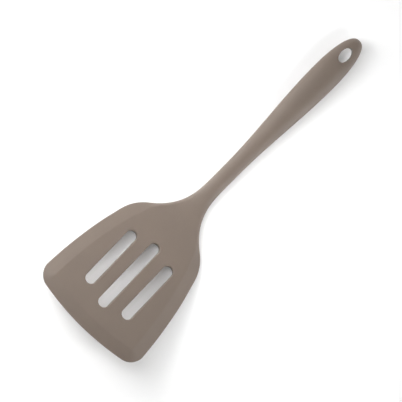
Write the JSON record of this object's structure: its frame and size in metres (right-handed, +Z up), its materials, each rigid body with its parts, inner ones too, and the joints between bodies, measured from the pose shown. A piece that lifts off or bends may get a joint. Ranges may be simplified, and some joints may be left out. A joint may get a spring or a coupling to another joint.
{
  "type": "grill spatula",
  "caption": "Slotted grill spatula with a fan-shaped chamfered blade, slim neck and oval handle with a hang hole, in matte silicone moulded over a steel plate and nylon scales.",
  "frame": {"origin": "on the table, under the middle of the part's box, as it lies on its heel and grip", "axes": "+X along the length to the leading edge of the blade, +Y across the blade, +Z up from the table"},
  "size_m": [0.3306, 0.1098, 0.0272],
  "materials": {
    "silicone": "matte",
    "steel": "satin",
    "nylon": "matte"
  },
  "bodies": {
    "root": {"upper_skin": "silicone", "lower_skin": "silicone", "blade_plate": "steel", "upper_scale": "nylon", "lower_scale": "nylon", "tang_rivets": "steel"}
  },
  "joints": []
}
